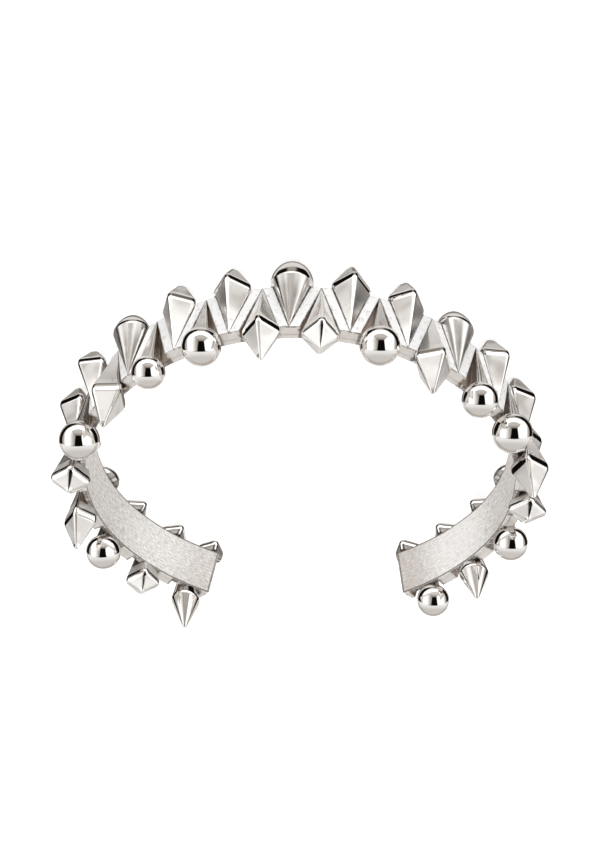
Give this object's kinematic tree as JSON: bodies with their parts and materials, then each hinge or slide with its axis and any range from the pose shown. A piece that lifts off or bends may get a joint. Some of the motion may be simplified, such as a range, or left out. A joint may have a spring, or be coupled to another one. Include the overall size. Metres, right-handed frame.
{
  "type": "studded cuff bracelet",
  "caption": "Open oval metal cuff bracelet: a brushed inner strip, a zigzag frame round it, and round, kite-shaped, conical and pyramid studs standing out past both rims.",
  "frame": {"origin": "Middle of the part's box in X and Y, on the surface that the cuff lies on", "axes": "+Z along the ring's axis and up as the cuff lies on its side, +Y towards the gap, X across the oval's width"},
  "size_m": [0.0656, 0.0542, 0.0194],
  "materials": {
    "brushed_strip": "brushed in short fine lines",
    "satin_frame": "satin, lightly scratched",
    "polished_studs": "mirror polished"
  },
  "bodies": {
    "root": {"inner_strip": "brushed_strip", "zigzag_frame": "satin_frame", "cone_upper_01": "polished_studs", "pyramid_upper_02": "polished_studs", "bead_upper_03": "polished_studs", "kite_upper_04": "polished_studs", "pyramid_upper_05": "polished_studs", "bead_upper_06": "polished_studs", "kite_upper_07": "polished_studs", "bead_upper_08": "polished_studs", "bead_upper_09": "polished_studs", "kite_upper_10": "polished_studs", "pyramid_upper_11": "polished_studs", "bead_upper_12": "polished_studs", "kite_upper_13": "polished_studs", "bead_upper_14": "polished_studs", "bead_upper_15": "polished_studs", "kite_upper_16": "polished_studs", "pyramid_upper_17": "polished_studs", "bead_upper_18": "polished_studs", "cone_upper_19": "polished_studs", "bead_upper_20": "polished_studs", "pyramid_lower_01": "polished_studs", "pyramid_lower_02": "polished_studs", "pyramid_lower_03": "polished_studs", "drop_lower_04": "polished_studs", "kite_lower_05": "polished_studs", "kite_lower_06": "polished_studs", "kite_lower_07": "polished_studs", "drop_lower_08": "polished_studs", "kite_lower_09": "polished_studs", "kite_lower_10": "polished_studs", "dome_lower_11": "polished_studs", "kite_lower_12": "polished_studs", "kite_lower_13": "polished_studs", "drop_lower_14": "polished_studs", "kite_lower_15": "polished_studs", "kite_lower_16": "polished_studs", "kite_lower_17": "polished_studs", "drop_lower_18": "polished_studs", "pyramid_lower_19": "polished_studs", "pyramid_lower_20": "polished_studs", "pyramid_lower_21": "polished_studs"}
  },
  "joints": []
}
